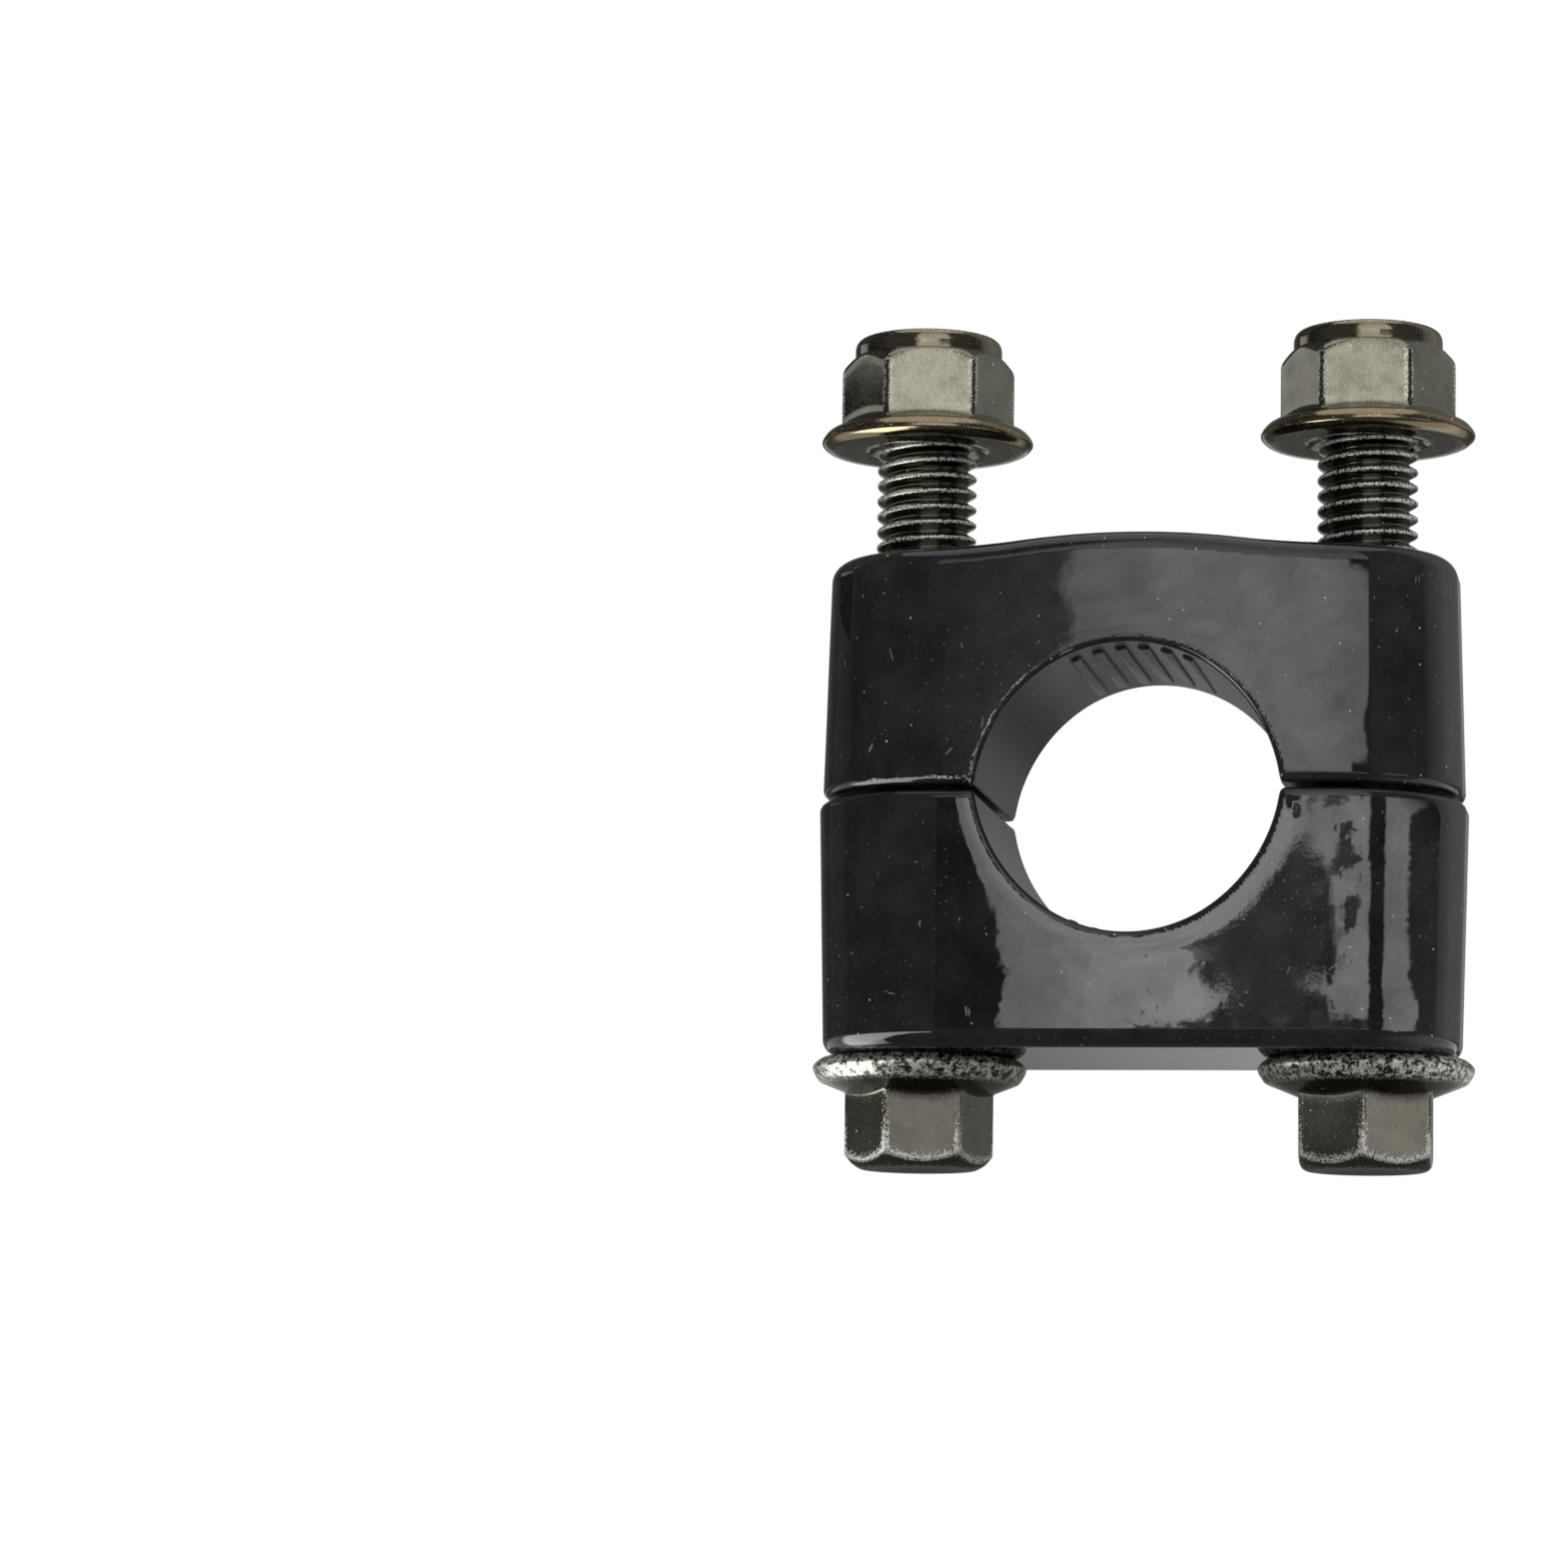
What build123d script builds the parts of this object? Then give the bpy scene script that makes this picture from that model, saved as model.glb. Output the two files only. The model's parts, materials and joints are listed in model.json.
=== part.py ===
from build123d import *
from math import cos, radians, sin, tan
import os

# Motorcycle bar riser: a split clamp in two castings, with two flange bolts and locking nuts.
# Millimetres. The origin is on the handlebar's axis, midway along the clamp. X runs from the left
# bolt to the right one, Y along the handlebar and Z up, from the bolt heads to the nuts.

# Handlebar and the bore that grips it
bar_radius = 11.1              # a 7/8 inch bar
bar_clearance = 0.1
grip_half_angle = 38.0         # each half closes on the bar this far to both sides of the crown
side_relief = 0.6              # the bore is this much wider at the split than across the crown
split_gap = 0.4                # left open between the halves when they grip the bar

# Grip ribs that run along the bar, across the crown of each half
rib_count = 6
rib_pitch = 9.2                # degrees between neighbours
rib_width = 0.95
rib_to_bar = 0.02              # the ribs end this far short of the bar until the nuts are tight
rib_end_margin = 3.25          # plain bore left at each face

# Castings
clamp_depth = 24.0             # along the bar
end_flat = 3.0                 # flat of the outline between its two corner arcs
inner_wall = 1.4               # between the bore at the split and a bolt hole
end_wall = 3.3                 # between a bolt hole and the end of the cap
base_overhang = 0.25           # the base casting is this much longer than the cap at each end
base_floor = 8.8               # under the bore, down to the flat seat
cap_roof = 7.7                 # over the bore, up to the nut faces
draft_angle = 1.5              # degrees on all outer walls, widest at the split
crown_height = 1.1             # swell of the cap over the bar
crown_width = 34.0
nut_seat_margin = 0.4          # the flat round each nut is this much wider than its flange
cap_edge_radius = 1.5
base_edge_radius = 1.2
split_edge_radius = 0.7        # all round the outside of the split
rim_radius = 0.4               # round both mouths of the bore
hole_edge_radius = 0.25

# Flange bolts, M8 by 55
bolt_radius = 3.95
bolt_length = 55.0
bolt_point = 0.9               # chamfer at the end of the thread
hole_clearance = 0.35
head_across_flats = 10.2
head_height = 8.75             # from the seat to the end of the hexagon
head_rim_thickness = 1.7
head_end_radius = 4.5
head_end_chamfer = 40.0        # degrees from the end face
head_dish_radius = 3.7
head_dish_depth = 0.35
left_head_turn = 11.4          # degrees from the pose with a corner on the X axis
right_head_turn = 32.0

# Flange locking nuts
flange_radius = 8.4
flange_slope = 22.0            # degrees, on top of both the nut's flange and the head's
rim_round_share = 0.45         # of a flange rim's thickness, so that its edge is nearly round
nut_across_flats = 12.0
nut_height = 9.05
nut_hex_top = 7.4              # above the nut's seat
nut_rim_thickness = 1.3
nut_end_radius = 5.9
nut_end_chamfer = 30.0
collar_radius = 5.75
collar_round = 0.85
thread_clearance = 0.05
countersink_depth = 0.75
left_nut_turn = 10.1
right_nut_turn = 2.4

# Nylon ring crimped into the top of each nut
insert_radius = 4.95
insert_height = 1.9
insert_bore_radius = 3.8
crimp_thickness = 0.4
crimp_overlap = 0.45
point_to_insert = 0.15         # the bolt's end stops this far below the ring

# Sizes that follow
bore_radius = bar_radius + bar_clearance
rib_height = bar_clearance - rib_to_bar
mouth_half_width = bore_radius + side_relief
hole_radius = bolt_radius + hole_clearance
bolt_offset = mouth_half_width + inner_wall + hole_radius
half_length = bolt_offset + hole_radius + end_wall
corner_radius = (clamp_depth - end_flat) / 2
split_z = split_gap / 2
seat_z = -(bore_radius + base_floor)
cap_top_z = bore_radius + cap_roof
bolt_end_z = seat_z + bolt_length
nut_thread_height = nut_height - crimp_thickness - insert_height
nut_z = bolt_end_z + point_to_insert - nut_thread_height
nut_bore_radius = bolt_radius + thread_clearance
margin = 1.0                   # cutters run this far past the metal
near = 0.05                    # two edges closer than this are on the same line
hex_half_angle = 30.0


def clamp_block(height, overhang=0.0):
    """One casting's outside without its crown: it stands on the split and narrows upwards."""
    outline = RectangleRounded(2 * (half_length + overhang), clamp_depth, corner_radius)
    return extrude(Pos(0, 0, split_z) * outline, amount=height - split_z, taper=draft_angle)


def crown_swell():
    """The cap's swell over the bar: a low hill of three arcs that meet tangentially."""
    foot = crown_width / 2
    bend = crown_width / 4
    rise = crown_height / 2
    left = TangentArc((-foot, cap_top_z), (-bend, cap_top_z + rise), tangent=(1, 0))
    top = ThreePointArc(
        (-bend, cap_top_z + rise), (0, cap_top_z + crown_height), (bend, cap_top_z + rise)
    )
    right = TangentArc((foot, cap_top_z), (bend, cap_top_z + rise), tangent=(-1, 0))
    under = Polyline(
        (-foot, cap_top_z), (-foot, cap_top_z - margin), (foot, cap_top_z - margin), (foot, cap_top_z)
    )
    hill = Plane.XZ * make_face([left, top, right, under])
    return extrude(hill, amount=clamp_depth / 2, both=True)


def bore_half():
    """What the bar leaves out of one half: a gripping arc that eases out towards the split."""
    grip = CenterArc((0, 0), bore_radius, 90 - grip_half_angle, 2 * grip_half_angle)
    right = TangentArc(grip @ 0, (mouth_half_width, 0), tangent=-(grip % 0))
    left = TangentArc(grip @ 1, (-mouth_half_width, 0), tangent=grip % 1)
    below = Polyline(
        (-mouth_half_width, 0),
        (-mouth_half_width, -margin),
        (mouth_half_width, -margin),
        (mouth_half_width, 0),
    )
    mouth = Plane.XZ * make_face([grip, right, left, below])
    return extrude(mouth, amount=clamp_depth / 2 + margin, both=True)


def grip_ribs():
    """Low rounded ribs spread evenly over the crown: each is the side of a cylinder in the casting."""
    round_radius = ((rib_width / 2)**2 + rib_height**2) / (2 * rib_height)
    reach = bore_radius - rib_height + round_radius
    length = clamp_depth - 2 * rib_end_margin
    ribs = []
    for index in range(rib_count):
        angle = radians((index - (rib_count - 1) / 2) * rib_pitch)
        place = Pos(reach * sin(angle), 0, reach * cos(angle))
        ribs.append(place * Rot(90, 0, 0) * Cylinder(round_radius, length))
    return ribs


def bolt_places():
    """The two bolt axes, left then right."""
    return [Pos(-bolt_offset, 0, 0), Pos(bolt_offset, 0, 0)]


def round_outer_edge(block, radius, flat_z):
    """Round the edge between the walls and the outer face, past the crown's cross lines."""
    edges = []
    for edge in block.edges():
        low = edge.bounding_box().min.Z
        middle = edge @ 0.5
        along_bar = abs((edge % 0.5).X) < near
        crosses = along_bar and abs(middle.X) < crown_width / 2 + near
        if low > flat_z - near and not crosses:
            edges.append(edge)
    return fillet(edges, radius)


def round_split(half):
    """Round the split's edges on the outside, as thick paint does. Inside the bore they stay sharp."""
    edges = []
    for edge in half.edges():
        middle = edge @ 0.5
        in_bore = abs(middle.Y) < near and abs(middle.X) < mouth_half_width + near
        if edge.bounding_box().max.Z < split_z + near and not in_bore:
            edges.append(edge)
    return fillet(edges, split_edge_radius)


def round_mouths(half):
    """Round both mouths of the bore, from one side of the split to the other."""
    edges = []
    for edge in half.edges():
        box = edge.bounding_box()
        points = [edge @ step for step in (0.0, 0.5, 1.0)]
        reach = max(abs(complex(point.X, point.Z)) for point in points)
        at_face = min(abs(point.Y) for point in points) > clamp_depth / 2 - margin
        if at_face and reach < mouth_half_width + near and box.size.Y < box.size.Z / 2:
            edges.append(edge)
    return fillet(edges, rim_radius)


def drill_bolt_holes(half):
    """Drill both bolt holes and break their edges."""
    for place in bolt_places():
        half -= place * Cylinder(hole_radius, 2 * bolt_length)
    rims = half.edges().filter_by(GeomType.CIRCLE)
    rims = [edge for edge in rims if abs(edge.radius - hole_radius) < near]
    return fillet(rims, hole_edge_radius)


def clamp_half(block):
    """Bore, round off, rib and drill one half's block."""
    half = round_mouths(round_split(block - bore_half()))
    for rib in grip_ribs():
        half += rib
    return drill_bolt_holes(half)


def face_nut_seats(block):
    """Cut the foot of the crown down to a flat seat under each nut's flange."""
    for place in bolt_places():
        cutter = Cylinder(flange_radius + nut_seat_margin, 2 * crown_height)
        block -= place * Pos(0, 0, cap_top_z + crown_height) * cutter
    return block


def upper_clamp_half():
    """The cap: a crowned half with flat seats for the nuts."""
    block = (clamp_block(cap_top_z) + crown_swell()) & clamp_block(cap_top_z + crown_height)
    return clamp_half(face_nut_seats(round_outer_edge(block, cap_edge_radius, cap_top_z)))


def lower_clamp_half():
    """The base: a flat-bottomed half that stands on the fork yoke."""
    block = round_outer_edge(clamp_block(-seat_z, base_overhang), base_edge_radius, -seat_z)
    return mirror(clamp_half(block), about=Plane.XY)


def flanged_blank(rim_thickness, across_flats, hex_height, end_radius, end_chamfer):
    """A hexagon standing on a sloped flange, its far end chamfered, seat at z = 0 facing down."""
    corner = across_flats / 2 / cos(radians(hex_half_angle))
    neck = across_flats / 2 - margin
    neck_height = rim_thickness + (flange_radius - neck) * tan(radians(flange_slope))
    flange_side = Polyline(
        (0, 0),
        (flange_radius, 0),
        (flange_radius, rim_thickness),
        (neck, neck_height),
        (0, neck_height),
        (0, 0),
    )
    flange = revolve(Plane.XZ * make_face(flange_side), Axis.Z)
    rims = flange.edges().filter_by(GeomType.CIRCLE)
    rims = [edge for edge in rims if abs(edge.radius - flange_radius) < near]
    flange = fillet(rims, rim_round_share * rim_thickness)
    drop = (corner + margin - end_radius) * tan(radians(end_chamfer))
    envelope_side = Polyline(
        (0, 0),
        (corner + margin, 0),
        (corner + margin, hex_height - drop),
        (end_radius, hex_height),
        (0, hex_height),
        (0, 0),
    )
    envelope = revolve(Plane.XZ * make_face(envelope_side), Axis.Z)
    hexagon = extrude(RegularPolygon(corner, 6), amount=hex_height)
    return flange + (hexagon & envelope)


def flange_bolt():
    """A bolt at the origin: seat at z = 0, shank upwards, hexagon downwards, dished end."""
    head = flanged_blank(
        head_rim_thickness, head_across_flats, head_height, head_end_radius, head_end_chamfer
    )
    head = mirror(head, about=Plane.XY)
    dish_radius = (head_dish_radius**2 + head_dish_depth**2) / (2 * head_dish_depth)
    head -= Pos(0, 0, head_dish_depth - head_height - dish_radius) * Sphere(dish_radius)
    shank = Pos(0, 0, bolt_length / 2) * Cylinder(bolt_radius, bolt_length)
    shank = chamfer(shank.edges().sort_by(Axis.Z)[-1], bolt_point)
    return head + shank


def insert_pocket():
    """Room for the nylon ring, with the mouth that the crimped lip leaves open."""
    ring_z = nut_thread_height + insert_height / 2
    pocket = Pos(0, 0, ring_z) * Cylinder(insert_radius, insert_height)
    mouth_radius = insert_radius - crimp_overlap
    mouth_height = nut_height - nut_thread_height + margin
    return pocket + Pos(0, 0, nut_thread_height + mouth_height / 2) * Cylinder(mouth_radius, mouth_height)


def locking_nut():
    """A nut with its seat at z = 0: sloped flange, hexagon and the collar crimped over the ring."""
    blank = flanged_blank(
        nut_rim_thickness, nut_across_flats, nut_hex_top, nut_end_radius, nut_end_chamfer
    )
    collar = Pos(0, 0, nut_height / 2) * Cylinder(collar_radius, nut_height)
    collar = fillet(collar.edges().sort_by(Axis.Z)[-1], collar_round)
    nut = blank + collar
    nut -= Pos(0, 0, nut_height / 2) * Cylinder(nut_bore_radius, nut_height + margin)
    sink = Cone(nut_bore_radius + countersink_depth, nut_bore_radius, countersink_depth)
    nut -= Pos(0, 0, countersink_depth / 2) * sink
    return nut - insert_pocket()


def nut_insert():
    """The nylon ring, in the nut's own place."""
    ring = Cylinder(insert_radius, insert_height) - Cylinder(insert_bore_radius, insert_height)
    return Pos(0, 0, nut_thread_height + insert_height / 2) * ring


def main():
    """Build every piece in its place and write one file for each."""
    left, right = bolt_places()
    at_seat = Pos(0, 0, seat_z)
    at_nut = Pos(0, 0, nut_z)
    pieces = {
        "lower_clamp_half": lower_clamp_half(),
        "upper_clamp_half": upper_clamp_half(),
        "left_bolt": left * at_seat * Rot(0, 0, left_head_turn) * flange_bolt(),
        "right_bolt": right * at_seat * Rot(0, 0, right_head_turn) * flange_bolt(),
        "left_nut": left * at_nut * Rot(0, 0, left_nut_turn) * locking_nut(),
        "right_nut": right * at_nut * Rot(0, 0, right_nut_turn) * locking_nut(),
        "left_nut_insert": left * at_nut * nut_insert(),
        "right_nut_insert": right * at_nut * nut_insert(),
    }
    os.makedirs("parts", exist_ok=True)
    for name, piece in pieces.items():
        export_step(piece, f"parts/{name}.step")
        print(name, "volume", round(piece.volume, 1))
    print("bolt axes at", bolt_offset, "seat", seat_z, "cap top", cap_top_z, "nut seat", round(nut_z, 3))


main()
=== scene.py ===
# %% [markdown]
# A motorcycle bar riser: two black castings that clamp a handlebar, two flange bolts that come up
# from below and two flange locking nuts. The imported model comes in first. It stays as it is, and
# every piece that is made here stands exactly where the model has its solid.

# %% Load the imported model
import json
from math import atan2, cos, pi, radians, sin, tan

import bpy
import numpy as np
from mathutils import Matrix, Vector


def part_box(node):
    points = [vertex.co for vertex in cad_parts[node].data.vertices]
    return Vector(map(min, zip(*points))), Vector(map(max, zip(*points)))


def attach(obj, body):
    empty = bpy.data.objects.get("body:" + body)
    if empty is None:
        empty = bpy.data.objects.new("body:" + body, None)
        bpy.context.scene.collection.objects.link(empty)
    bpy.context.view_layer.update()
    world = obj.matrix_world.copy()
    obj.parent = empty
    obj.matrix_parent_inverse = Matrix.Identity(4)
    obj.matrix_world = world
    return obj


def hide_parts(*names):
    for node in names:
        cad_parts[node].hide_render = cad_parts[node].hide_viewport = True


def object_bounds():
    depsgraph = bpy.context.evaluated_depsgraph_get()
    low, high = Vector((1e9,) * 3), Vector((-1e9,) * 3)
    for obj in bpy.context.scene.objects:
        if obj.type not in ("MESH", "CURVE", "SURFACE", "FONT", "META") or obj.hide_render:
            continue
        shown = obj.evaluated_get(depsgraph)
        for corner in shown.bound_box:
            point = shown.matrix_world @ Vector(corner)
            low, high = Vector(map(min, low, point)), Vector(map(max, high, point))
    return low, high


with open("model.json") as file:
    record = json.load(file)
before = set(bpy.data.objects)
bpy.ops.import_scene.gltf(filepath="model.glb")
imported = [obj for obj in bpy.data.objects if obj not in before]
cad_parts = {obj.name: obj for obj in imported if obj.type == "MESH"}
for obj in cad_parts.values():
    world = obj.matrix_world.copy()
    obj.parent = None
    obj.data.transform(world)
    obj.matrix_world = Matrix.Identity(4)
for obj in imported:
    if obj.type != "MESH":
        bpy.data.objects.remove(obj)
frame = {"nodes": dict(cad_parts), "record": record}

mm = 0.001
cad_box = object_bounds()

# %% [markdown]
# The camera comes first, because every look at the riser is a comparison from one place. A long lens
# stands a little to the right of the riser and below it, so that the undersides of the nuts show.
# The three angles turn the riser into the camera's own axes, and the camera then goes back along
# its view. The riser sits right of the middle of the picture, so the camera is moved sideways by
# the same share instead of being turned towards it.

# %% Camera
picture_side = 1569
lens_in_pixels = 5768.2
riser_right_of_middle = 359.7
riser_below_middle = 21.0
camera_distance = 452.55 * mm
camera_swing = radians(-10.133)
camera_tilt = radians(-7.623)
camera_roll = radians(0.94)
sensor_width = 36


def new_object(name, data):
    """Put a mesh or a camera in the scene."""
    made = bpy.data.objects.new(name, data)
    bpy.context.scene.collection.objects.link(made)
    return made


to_camera = (
    Matrix.Rotation(camera_roll, 3, "Y")
    @ Matrix.Rotation(camera_tilt, 3, "X")
    @ Matrix.Rotation(camera_swing, 3, "Z")
)
rightwards, forwards, upwards = to_camera
riser_in_camera = Vector((riser_right_of_middle, lens_in_pixels, -riser_below_middle))
riser_in_camera *= camera_distance / lens_in_pixels
camera_data = bpy.data.cameras.new("camera")
camera_data.sensor_width = sensor_width
camera_data.lens = sensor_width * lens_in_pixels / picture_side
camera_data.clip_start = 10 * mm
camera_data.clip_end = 20
camera = new_object("camera", camera_data)
camera.matrix_world = (
    Matrix.Translation(-(to_camera.transposed() @ riser_in_camera))
    @ Matrix((rightwards, upwards, -forwards)).transposed().to_4x4()
)
bpy.context.scene.camera = camera
bpy.context.scene.view_settings.view_transform = "Standard"
print("camera at", [round(c, 4) for c in camera.matrix_world.translation])

# %% [markdown]
# A small helper keeps the node materials readable: it adds one node, sets its plain values and
# plugs in what comes from other nodes. The rest are the steps that every finish here is made of:
# arithmetic, noise, ramps, specks and thin coats of colour. All write to the nodes started last.

# %% Helpers for node materials
bench = {}


def start_nodes(owner):
    """Empty the nodes of a material or of the world, and put them on the bench for the helpers."""
    owner.use_nodes = True
    bench["tree"] = owner.node_tree
    bench["tree"].nodes.clear()


def new_material(name):
    """Start an empty node material."""
    material = bpy.data.materials.new(name)
    start_nodes(material)
    return material


def add(kind, settings=None, sockets=None):
    """Add a node, set its options, and fill its sockets with values or with other nodes' outputs."""
    made = bench["tree"].nodes.new("ShaderNode" + kind)
    for option, value in (settings or {}).items():
        setattr(made, option, value)
    for socket, value in (sockets or {}).items():
        if isinstance(value, bpy.types.NodeSocket):
            bench["tree"].links.new(value, made.inputs[socket])
        else:
            made.inputs[socket].default_value = value
    return made


def calculate(operation, first, *others):
    """Arithmetic between two or more values, one node for each step."""
    for other in others:
        first = add("Math", {"operation": operation}, {0: first, 1: other}).outputs[0]
    return first


def times(*values):
    """The product of all values."""
    return calculate("MULTIPLY", *values)


def plus(*values):
    """The sum of all values."""
    return calculate("ADD", *values)


def highest(*values):
    """The highest of all values."""
    return calculate("MAXIMUM", *values)


def point_value(name):
    """A number that a mesh carries on its points."""
    return add("Attribute", {"attribute_name": name}).outputs["Fac"]


def noise(where, size, detail=2.0, roughness=0.5):
    """Soft noise from 0 to 1 with spots of about the given size."""
    made = add("TexNoise", None, {
        "Vector": where, "Scale": 1 / size, "Detail": detail, "Roughness": roughness,
    })
    return made.outputs["Fac"]


def between(value, low, high, start=0.0, end=1.0):
    """Spread a value from low to high onto start to end, and clamp it there."""
    made = add("MapRange", {"clamp": True}, {
        "Value": value, "From Min": low, "From Max": high, "To Min": start, "To Max": end,
    })
    return made.outputs["Result"]


def blend_colours(share, *colours):
    """Mix two colours by a share from 0 to 1."""
    first, second = (c if isinstance(c, bpy.types.NodeSocket) else (*c, 1.0) for c in colours)
    return add("Mix", {"data_type": "RGBA"}, {"Factor": share, 6: first, 7: second}).outputs[2]


def coats(colour, *layers):
    """Lay thin coats over a colour, one after another: a share, its strength and a colour each."""
    for share, strength, coat in layers:
        colour = blend_colours(times(share, strength), colour, coat)
    return colour


def specks(where, spacing, size, share):
    """Small round spots strewn through space: 1 on a spot. A share of all cells gets one."""
    cell = add("TexVoronoi", {"feature": "F1"}, {"Vector": where, "Scale": 1 / spacing})
    chance = add("SeparateColor", None, {0: cell.outputs["Color"]})
    reach = between(chance.outputs[1], 0.0, 1.0, 0.5 * size / spacing, size / spacing)
    inside = calculate("LESS_THAN", cell.outputs["Distance"], reach)
    picked = calculate("LESS_THAN", chance.outputs[0], share)
    return times(inside, picked)


def glow(level, colour=(1, 1, 1, 1)):
    """Light given off by a surface."""
    return add("Emission", None, {"Color": colour, "Strength": level}).outputs[0]


def finish_surface(colour, rough, height, strength, depth, **others):
    """The usual shader: a colour, a roughness and a fine relief, plugged into the output."""
    bump = add("Bump", None, {"Strength": strength, "Distance": depth, "Height": height})
    shader = add("BsdfPrincipled", None, {
        "Base Color": colour, "Roughness": rough, "Normal": bump.outputs[0], **others,
    })
    add("OutputMaterial", None, {"Surface": shader.outputs[0]})


# %% [markdown]
# The floor is plain pale board, level with the two bolt heads that the riser stands on. The camera
# looks up from just under it, so the board lets everything through from below and shows from above
# only. Far from the riser it fades to the plain white of the surroundings, which hides its edge.

# %% Floor and white surroundings
floor_level = cad_box[0].z
floor_radius = 700 * mm
fade_start, fade_end = 150 * mm, 600 * mm
floor_white, floor_mottle = 0.82, 0.01
seen_level, lighting_level = 1.0, 0.55


def disc(name, radius, level, material):
    """A flat round sheet on the riser's middle line."""
    rim = [(radius * cos(radians(a)), radius * sin(radians(a)), level) for a in range(0, 360, 5)]
    mesh = bpy.data.meshes.new(name)
    mesh.from_pydata(rim, [], [list(range(len(rim)))])
    mesh.materials.append(material)
    return mesh


board = new_material("pale_board")
position = add("NewGeometry")
reach = add("VectorMath", {"operation": "LENGTH"}, {0: position.outputs["Position"]})
mottle = noise(position.outputs["Position"], 2 * mm)
pale, paler = ((floor_white + change,) * 3 for change in (-floor_mottle, floor_mottle))
paper = add("BsdfDiffuse", None, {"Color": blend_colours(mottle, pale, paler)})
far = between(reach.outputs["Value"], fade_start, fade_end)
seen_from_above = add("MixShader", None, {0: far, 1: paper.outputs[0], 2: glow(1.0)})
clear = add("BsdfTransparent")
one_sided = add("MixShader", None, {
    0: position.outputs["Backfacing"], 1: seen_from_above.outputs[0], 2: clear.outputs[0],
})
add("OutputMaterial", None, {"Surface": one_sided.outputs[0]})
floor = new_object("floor", disc("floor", floor_radius, floor_level, board))
floor.visible_glossy = False

world = bpy.data.worlds.new("white_surroundings")
bpy.context.scene.world = world
start_nodes(world)
ray = add("LightPath")
plain_rays = [ray.outputs[f"Is {kind} Ray"] for kind in ("Camera", "Glossy", "Transmission")]
level = between(highest(*plain_rays), 0.0, 1.0, lighting_level, seen_level)
white = add("Background", None, {"Color": (1, 1, 1, 1), "Strength": level})
add("OutputWorld", None, {"Surface": white.outputs[0]})
print("floor at", round(floor_level / mm, 2), "mm")

# %% [markdown]
# Nothing in this scene may look drawn with a ruler, so one helper makes smooth unevenness: a handful
# of plane waves of about one length, in all directions. It serves the light patterns, the forged
# steel and the paint alike.

# %% Unevenness
def waves(points, size, seed, count=18):
    """Smooth unevenness between about -1 and 1: plane waves of about one size, in all directions."""
    random = np.random.default_rng(seed)
    direction = random.normal(size=(count, 3))
    direction /= np.linalg.norm(direction, axis=1)[:, None]
    length = size * random.uniform(0.7, 1.4, count)
    phase = random.uniform(0, 2 * pi, count)
    turns = points @ (direction * (2 * pi / length[:, None])).T + phase
    return np.sin(turns).sum(axis=1) / np.sqrt(count)


def ramp(value, low, high):
    """0 below low, 1 above high and an easy step between them."""
    share = np.clip((value - low) / (high - low), 0, 1)
    return share * share * (3 - 2 * share)


def hump(value, middle, width):
    """1 at the middle, falling off softly to both sides."""
    return np.exp(-((value - middle) / width)**2)


print("a wave's height here and there", waves(np.array([[0, 0, 0], [3, 1, 2]]), 5.0, 1).round(2))

# %% [markdown]
# Gloss black shows hardly anything but what stands round it, so the studio is made of curved
# screens. Each covers a range of bearings and heights as seen from the riser: bearing 0 is straight
# in front of it and grows to its right. The camera looks up at two plain walls that lean back from
# the split by their draft, so each half mirrors its own few degrees of the studio, and the rounded
# ends squeeze all the rest into a narrow band. One function undoes this: it tells where on the front
# a bearing and a height will show, and the lights are then painted in millimetres of the casting.

# %% What the front mirrors
wall_lean = 1.5
middle_bearing, bearing_per_mm = -6.7, 0.184
middle_height, height_per_mm = 7.5, 0.18
flat_end, end_radius = 14.7, 10.5


def on_front(across, up, is_cap):
    """Where a bearing and a height show on the front of one half: millimetres from its middle."""
    x = np.linspace(-flat_end, flat_end + end_radius, 900)
    past_flat = np.clip((x - flat_end) / end_radius, 0, 1)
    bearing = middle_bearing + bearing_per_mm * x + 2 * np.degrees(np.arcsin(past_flat))
    turned_away = np.sqrt(1 - np.interp(across, bearing, past_flat)**2)
    lean = (2 * wall_lean if is_cap else -2 * wall_lean) * turned_away
    return np.interp(across, bearing, x), (up - middle_height - lean) / height_per_mm


def uneven(x, z, *parts):
    """Unevenness over the front. A part has an amount, a size in millimetres and a seed."""
    points = np.stack([x, z, np.zeros_like(x)], axis=-1).reshape(-1, 3)
    return sum(amount * waves(points, size, seed) for amount, size, seed in parts).reshape(x.shape)


print("bearing 41 shows at", on_front(41.0, 10.5, True))

# %% [markdown]
# The strip light is for the cap. Its left side fades in across the middle of the front, its right
# side ends crisply on the rounded end, and its diffuser is a little cloudy. All places in the
# patterns are millimetres from the middle of the front, and heights above the bar's axis.

# %% Strip light
def strip_pattern(across, up):
    """Brightness of the strip light."""
    x, z = on_front(across, up, True)
    left = -4.9 + 0.24 * np.clip(17 - z, 0, 8) + uneven(x, z, (0.3, 5.0, 31))
    level = 0.09 * ramp(x, -20, -12) + 0.07 * ramp(x, -12, -6)
    level = level + 0.56 * ramp(x, left - 0.8, left + 0.6) + 0.32 * ramp(x, left, left + 9)
    level = level * (1 - 0.22 * ramp(x, 14, 18.5))
    right = 18.6 - 0.45 * hump(z, 5, 2) - 1.3 * ramp(-z, -2.5, -1.4) - 1.5 * ramp(z, 16.4, 18.2)
    level = level * (1 - ramp(x, right - 0.1, right + 0.12))
    cloud = uneven(x, z, (0.08, 6.0, 32), (0.07, 2.2, 33), (0.05, 0.9, 34))
    foot_and_top = ramp(up, 10.3, 10.55) * (1 - 0.6 * ramp(up, 14, 18))
    return np.clip(level * (1 + cloud) * foot_and_top, 0, None)


print("strip light at the cap's middle", strip_pattern(np.array([[-6.7]]), np.array([[12.0]])).round(2))

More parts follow.
